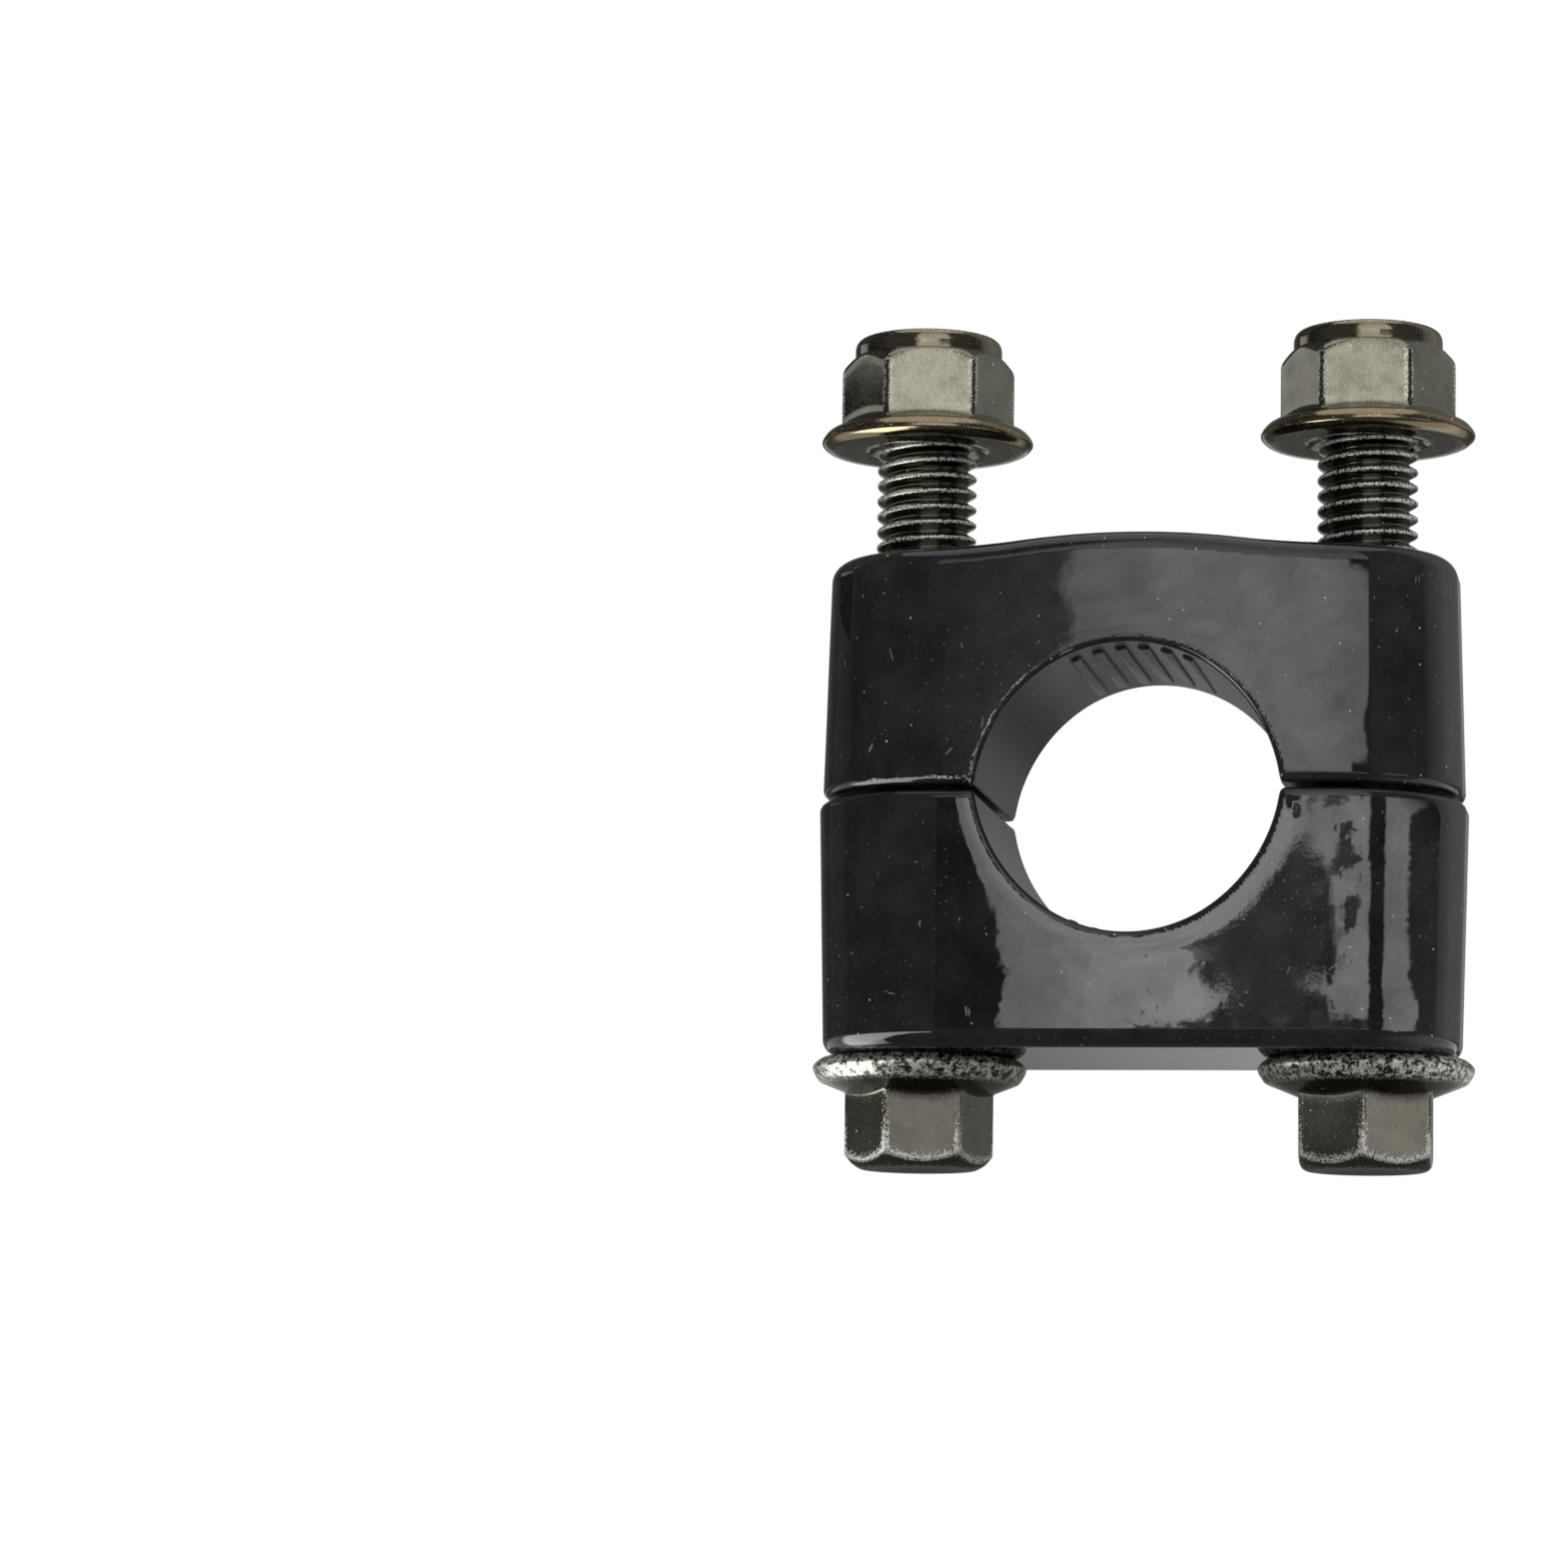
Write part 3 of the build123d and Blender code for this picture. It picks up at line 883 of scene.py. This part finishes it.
# %% [markdown]
# The castings are where the looks are won or lost. Thick gloss paint rolls over every edge, sags a
# little, and mirrors the studio, so any flat facet shows at once. The casting is therefore written
# as a depth: a formula that says for any point how far it lies outside the metal. Walls, crown,
# bore and holes are each one simple distance, and where two meet the corner is rounded. The
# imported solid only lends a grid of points. Each point is moved onto the surface where the depth is
# zero, and takes its normal from the same formula, which makes the reflections run smoothly.

# %% The castings' walls, crown and bore
bore_radius = frame["record"]["mounts"][0]["dims"]["r_mm"] * mm
grip_half_angle = radians(38)
mouth_half_width = bore_radius + 0.6 * mm
clamp_depth = 24 * mm
corner_radius = 10.5 * mm
draft = radians(1.5)
split_half_gap = 0.2 * mm
crown_height = 1.1 * mm
crown_half_width = 17 * mm


def round_max(first, second, radius):
    """The outer of two depths, with the corner between them rounded to a radius."""
    inner = np.minimum(np.maximum(first, second), -radius)
    return inner + np.hypot(np.maximum(first + radius, 0), np.maximum(second + radius, 0))


def wall_depth(x, y, height, half_length):
    """Outside of the rounded outline, which narrows away from the split by the draft."""
    inset = (height - split_half_gap) * tan(draft)
    corner = corner_radius - inset
    past_x = np.abs(x) - (half_length - inset - corner)
    past_y = np.abs(y) - (clamp_depth / 2 - inset - corner)
    outside = np.hypot(np.maximum(past_x, 0), np.maximum(past_y, 0))
    return (outside + np.minimum(np.maximum(past_x, past_y), 0) - corner) * cos(draft)


def crown(x):
    """Height of the cap over its shoulders: three arcs of one radius that meet without a kink."""
    half_foot, half_rise = crown_half_width / 2, crown_height / 2
    radius = (half_foot**2 + half_rise**2) / (2 * half_rise)
    from_top = np.minimum(np.abs(x), half_foot)
    from_foot = np.clip(crown_half_width - np.abs(x), 0, half_foot)
    top = crown_height - radius + np.sqrt(radius**2 - from_top**2)
    foot = radius - np.sqrt(radius**2 - from_foot**2)
    return np.where(np.abs(x) < half_foot, top, foot)


def bore_depth(x, height):
    """Outside of the bore's opening: a grip arc at the crown and an easier arc down to the split."""
    lean = (mouth_half_width**2 - bore_radius**2) / 2
    lean /= mouth_half_width * sin(grip_half_angle) - bore_radius
    centre_x, centre_z = lean * sin(grip_half_angle), lean * cos(grip_half_angle)
    grip = np.hypot(x, height) - bore_radius
    flank = np.hypot(np.abs(x) - centre_x, height - centre_z) - (bore_radius - lean)
    return np.where(np.arctan2(np.abs(x), height) < grip_half_angle, grip, flank)


print("flank check", bore_depth(np.array([mouth_half_width]), np.array([0.0])))

# %% [markdown]
# The rest of the depth puts these together for one half. The corners differ: the top and the bottom
# edges are rolled, the split's outer edge is rounder than the bore's, and paint has built up thinly
# everywhere. It swells over long waves, thins a little along the bore's rim, and left one small bead
# on the base beside the bore.

# %% The castings as a depth
cap_half_length, base_half_length = 25.1 * mm, 25.35 * mm
cap_top, base_bottom = 18.9 * mm, -seat_level
cap_edge_round, base_edge_round = 1.5 * mm, 1.2 * mm
split_round, mouth_round = 0.7 * mm, 0.4 * mm
cap_bore_round, base_bore_round = 0.12 * mm, 0.55 * mm
nut_seat_radius = flange_radius + 0.4 * mm
hole_x = (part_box("right_bolt")[0].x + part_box("right_bolt")[1].x) / 2
hole_radius, hole_round = 4.3 * mm, 0.25 * mm
cap_lip_drop, base_lip_drop, lip_width = 0.012 * mm, 0.03 * mm, 0.8 * mm
swell_height, swell_length = 0.003 * mm, 14 * mm
bead_x, bead_down = 12.85 * mm, 1.4 * mm
bead_width, bead_height, bead_rise = 0.4 * mm, 0.65 * mm, 0.025 * mm


def casting_depth(points, is_cap):
    """How far each point lies outside one casting; negative inside the metal."""
    x, y = points[:, 0], points[:, 1]
    height = points[:, 2] if is_cap else -points[:, 2]
    bore = bore_depth(x, height)
    from_hole = np.hypot(np.abs(x) - hole_x, y)
    rim = np.exp(-np.maximum(bore, 0) / lip_width)
    paint = swell_height * (waves(points, swell_length, seed=5 if is_cap else 9) - 1.5)
    if is_cap:
        wall = wall_depth(x, y, height, cap_half_length) + cap_lip_drop * rim
        body = round_max(wall, height - cap_top - crown(x), cap_edge_round)
        seat = round_max(from_hole - nut_seat_radius, cap_top - height, 0.05 * mm)
        body = round_max(body, -seat, 0.1 * mm)
    else:
        wall = wall_depth(x, y, height, base_half_length) + base_lip_drop * rim
        body = round_max(wall, height - base_bottom, base_edge_round)
        from_bead = np.hypot((x - bead_x) / bead_width, (height - bead_down) / bead_height)
        paint += bead_rise * hump(from_bead, 0, 1) * (y < 0)
    body = round_max(body, split_half_gap - height, split_round)
    inner_round = cap_bore_round if is_cap else base_bore_round
    bore_round = np.interp(clamp_depth / 2 - np.abs(y), [0.5 * mm, 1.3 * mm], [mouth_round, inner_round])
    body = round_max(body, -bore, bore_round)
    return round_max(body, hole_radius - from_hole, hole_round) - paint


print("depth above the crown", casting_depth(np.array([[0, 0, 21 * mm]]), True) / mm, "mm")

# %% [markdown]
# A grid of even cells would waste points on the plain walls and starve the rolled edges. So the
# solid is first stretched: space is measured in cells, with small cells near the faces, the split
# and the ribbed crown and larger ones between. It is then wrapped in a grid of whole cells, and
# stretched back.

# %% Grid of points for a casting
fine_cell, medium_cell, coarse_cell = 0.15 * mm, 0.28 * mm, 0.45 * mm
far_out = 30 * mm
face = clamp_depth / 2
stops_and_cells = (
    # along x, along y, and up from the split
    (np.array([-far_out, -13.2 * mm, -9 * mm, 9 * mm, 13.2 * mm, far_out]),
     np.array([0.40 * mm, 0.18 * mm, 0.26 * mm, 0.18 * mm, 0.40 * mm])),
    (np.array([-far_out, -face + 1.6 * mm, face - 1.6 * mm, far_out]),
     np.array([fine_cell, coarse_cell, fine_cell])),
    (np.array([-2 * mm, 1.6 * mm, 7 * mm, 12 * mm, 17 * mm, far_out]),
     np.array([fine_cell, medium_cell, 0.18 * mm, coarse_cell, 0.22 * mm])),
)


def stretched(points, is_cap, back=False):
    """A casting's points in cells, or back in metres. The base is turned over to be measured."""
    upright = np.array([1, 1, 1 if is_cap else -1])
    points = points if back else points * upright
    axes = []
    for values, (stops, cells) in zip(points.T, stops_and_cells):
        counts = np.concatenate([[0], np.cumsum(np.diff(stops) / cells)])
        axes.append(np.interp(values, counts, stops) if back else np.interp(values, stops, counts))
    return np.stack(axes, axis=-1) * (upright if back else 1)


def grid_over(node, is_cap):
    """A closed grid of quads over a packed casting, with cells of the chosen sizes."""
    mesh = frame["nodes"][node].data.copy()
    mesh.vertices.foreach_set("co", stretched(read_points(mesh), is_cap).ravel())
    if not is_cap:
        mesh.flip_normals()
    holder = new_object("grid_holder", mesh)
    wrap = holder.modifiers.new("wrap", "REMESH")
    wrap.mode, wrap.voxel_size = "VOXEL", 1.0
    wrapped = holder.evaluated_get(bpy.context.evaluated_depsgraph_get())
    grid = bpy.data.meshes.new_from_object(wrapped)
    bpy.data.objects.remove(holder)
    bpy.data.meshes.remove(mesh)
    grid.vertices.foreach_set("co", stretched(read_points(grid), is_cap, back=True).ravel())
    if not is_cap:
        grid.flip_normals()
    print("grid over", node, "points", len(grid.vertices))
    return grid


# %% [markdown]
# Every point then walks down the slope of the depth until the depth is zero, and the slope there is
# its normal. Along the cap's left edge and round its bore the paint is nicked in a thin line, so the
# points also learn how far they lie from that line and how bare it is. Two more values mark the
# duller paint inside and the wrinkled paint low on the base.

# %% Settling the castings
longest_step = 0.3 * mm


def slope(points, depth, step=0.02 * mm):
    """The direction in which a depth grows fastest, by small steps along each axis."""
    rise = [depth(points + shift) - depth(points - shift) for shift in np.eye(3) * step]
    return np.stack(rise, axis=-1) / (2 * step)


def settle(points, depth, rounds=6, least_steep=0.3):
    """Move points onto the surface where the depth is zero, and give its normals there."""
    for _ in range(rounds):
        uphill = slope(points, depth)
        steepness = np.maximum((uphill**2).sum(axis=1), least_steep)
        move = np.clip(depth(points) / steepness, -longest_step, longest_step)
        points = points - uphill * move[:, None]
    normals = slope(points, depth, 0.03 * mm)
    return points, normals / np.linalg.norm(normals, axis=1)[:, None]


def chip_lines(x, y, height):
    """How far points of the cap lie from the nicked lines, in millimetres, and how bare those are."""
    along_split = height - (0.62 * mm + 0.011 * (x + 22 * mm))
    along_rim = bore_depth(x, height) - 0.42 * mm
    bare_split = ramp(x, -22.5 * mm, -20.5 * mm) * (1 - ramp(x, -12.6 * mm, -11.8 * mm))
    bare_rim = 0.8 * ramp(-x, 6 * mm, 8.5 * mm) + 0.35 * ramp(x, 3 * mm, 6 * mm) * (height > 2 * mm)
    split_is_nearer = np.abs(along_split) < np.abs(along_rim)
    track = np.where(split_is_nearer, along_split, along_rim)
    return track / mm, np.where(split_is_nearer, bare_split, bare_rim) * (y < -10 * mm)


def casting(name, node, body, is_cap, material):
    """One painted casting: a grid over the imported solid, settled on the formula's surface."""
    mesh = grid_over(node, is_cap)
    points, normals = settle(read_points(mesh), lambda p: casting_depth(p, is_cap))
    mesh.vertices.foreach_set("co", points.ravel())
    mesh.update()
    mesh.shade_smooth()
    mesh.normals_split_custom_set_from_vertices(normals.tolist())
    x, y, height = points.T * np.array([[1], [1], [1 if is_cap else -1]])
    track, bare = chip_lines(x, y, height)
    store(mesh, "chip_track", track)
    store(mesh, "chip_share", bare * is_cap)
    in_bore = np.clip(1 - bore_depth(x, height) / (0.3 * mm), 0, 1) * (np.abs(y) < 11.8 * mm)
    on_split = np.clip(1 - (height - split_half_gap) / (0.1 * mm), 0, 1)
    store(mesh, "inside", np.maximum(in_bore, on_split))
    from_tear = np.hypot((x - 11 * mm) / (5 * mm), (height - 10 * mm) / (8.5 * mm))
    store(mesh, "wrinkled", np.clip(1.7 - 1.3 * from_tear, 0, 1) * (not is_cap))
    mesh.name = name
    mesh.materials.clear()
    place_piece(name, mesh, node, body, material)


# %% [markdown]
# Six low ribs run along the crown of each half and bite into the bar. They were cast with it, but as
# crisp little bars they are built by themselves: each is a long pad whose section is a flattened
# oval, sunk by half into the casting, with its end faces square.

# %% Grip ribs
rib_count, rib_pitch = 6, radians(9.2)
rib_width, rib_rise = 0.95 * mm, 0.24 * mm
rib_half_length = 8.75 * mm
rib_squareness = 2.8


def squared_off(wave):
    """A sine or cosine pushed outwards, which turns a circle's section into a rounded bar's."""
    return np.sign(wave) * np.abs(wave)**(2 / rib_squareness)


def grip_ribs(name, node, body, is_cap, material):
    """The six ribs of one half as one piece."""
    around = np.linspace(0, 2 * pi, 32, endpoint=False)
    side = squared_off(np.cos(around)) * rib_width / 2
    rise = squared_off(np.sin(around)) * rib_rise
    size = np.array([0.02, 0.94, 0.985, 1.0])
    along = np.array([0.0, 0.0, 0.015 * mm, 0.06 * mm]) - rib_half_length
    size = np.concatenate([size, size[::-1]])[:, None]
    along = np.concatenate([along, -along[::-1]])
    points, faces = [], []
    for index in range(rib_count):
        angle = (index - (rib_count - 1) / 2) * rib_pitch
        reach = bore_radius + size * rise
        ring_x = reach * sin(angle) + size * side * cos(angle)
        ring_z = reach * cos(angle) - size * side * sin(angle)
        ring_y = np.broadcast_to(along[:, None], ring_x.shape)
        corner = np.arange(ring_x.size).reshape(ring_x.shape) + index * ring_x.size
        points.append(np.stack([ring_x, ring_y, ring_z], axis=-1).reshape(-1, 3))
        faces += quads(np.hstack([corner, corner[:, :1]]).T)
        faces += [corner[0].tolist(), corner[-1][::-1].tolist()]
    points = np.concatenate(points)
    if not is_cap:
        points[:, 2] *= -1
        faces = [face[::-1] for face in faces]
    mesh = bpy.data.meshes.new(name)
    mesh.from_pydata(points.tolist(), [], faces)
    mesh.shade_smooth()
    mesh.set_sharp_from_angle(angle=radians(40))
    store(mesh, "inside", np.ones(len(points)))
    store(mesh, "chip_track", np.ones(len(points)))
    place_piece(name, mesh, node, body, material)


# %% [markdown]
# The paint is thick, glossy and nearly black, and mirrors almost without blur. Up close it carries
# white dust, short scratches and a faint grey film. It is chipped pale along some edges, and low on
# the base it dried in fine wrinkles that tear whatever they mirror. Inside the bore it is thinner
# and duller.

# %% Black gloss paint
black, film_grey = (0.0115, 0.0125, 0.0127), (0.027, 0.028, 0.028)
scratch_grey, fine_dust_grey = (0.35, 0.35, 0.35), (0.5, 0.5, 0.5)
dust_white, chip_grey = (0.75, 0.75, 0.74), (0.42, 0.41, 0.39)
scratch_turns_and_lengths = ((0.5, 5.0), (-0.9, 7.0), (1.45, 9.0))

gloss_paint = new_material("black_gloss_paint_finish")
where = add("TexCoord").outputs["Object"]
track, bare, inner, wrinkled = (
    point_value(kind) for kind in ("chip_track", "chip_share", "inside", "wrinkled")
)
dust = specks(where, 1.0 * mm, 0.08 * mm, 0.32)
fine_dust = specks(where, 0.45 * mm, 0.045 * mm, 0.5)
bend = add("TexNoise", None, {"Vector": where, "Scale": 1 / (2.5 * mm), "Detail": 0.0})
bend = add("VectorMath", {"operation": "SCALE"}, {0: bend.outputs["Color"], "Scale": 2.0 * mm})
bent = add("VectorMath", None, {0: where, 1: bend.outputs[0]}).outputs[0]
strokes = []
for turn, length in scratch_turns_and_lengths:
    turned = add("Mapping", {"vector_type": "TEXTURE"}, {
        "Vector": bent, "Rotation": (0.0, turn, 0.0), "Scale": (length, 1.0, 1.0),
    }).outputs[0]
    strokes.append(specks(turned, 0.8 * mm, 0.10 * mm, 0.16))
scratches = highest(*strokes)
film = between(noise(where, 4 * mm, detail=6, roughness=0.68), 0.40, 0.72)
wander = plus(noise(where, 0.9 * mm, detail=3, roughness=0.7), -0.5)
off_track = calculate("ABSOLUTE", plus(track, times(wander, 0.5)), 0.0)
breadth = between(noise(where, 1.3 * mm, detail=2), 0.35, 0.7, 0.03, 0.16)
within = calculate("SUBTRACT", times(bare, breadth), off_track)
crumbs = noise(where, 0.22 * mm, detail=2, roughness=0.7)
chipped = times(between(within, -0.01, 0.03), between(crumbs, 0.44, 0.54), between(bare, 0.02, 0.2))
colour = coats(
    blend_colours(film, black, film_grey), (scratches, 0.35, scratch_grey),
    (fine_dust, 0.6, fine_dust_grey), (dust, 1.0, dust_white), (chipped, 1.0, chip_grey),
)
dull = times(highest(dust, chipped, scratches), 0.5)
rough = plus(between(film, 0.0, 1.0, 0.005, 0.03), times(inner, 0.24), dull)
peel = times(noise(where, 1.1 * mm, detail=1), 0.07)
ripple = times(noise(where, 4.5 * mm, detail=1), 0.3)
creases = times(noise(where, 0.7 * mm, detail=4, roughness=0.65), wrinkled, 0.14)
height = plus(peel, ripple, creases)
finish_surface(colour, rough, height, strength=1.0, depth=0.01 * mm)

casting("upper_casting", "upper_clamp_half", "cap", True, gloss_paint)
casting("lower_casting", "lower_clamp_half", "base", False, gloss_paint)
grip_ribs("upper_grip_ribs", "upper_clamp_half", "cap", True, gloss_paint)
grip_ribs("lower_grip_ribs", "lower_clamp_half", "base", False, gloss_paint)
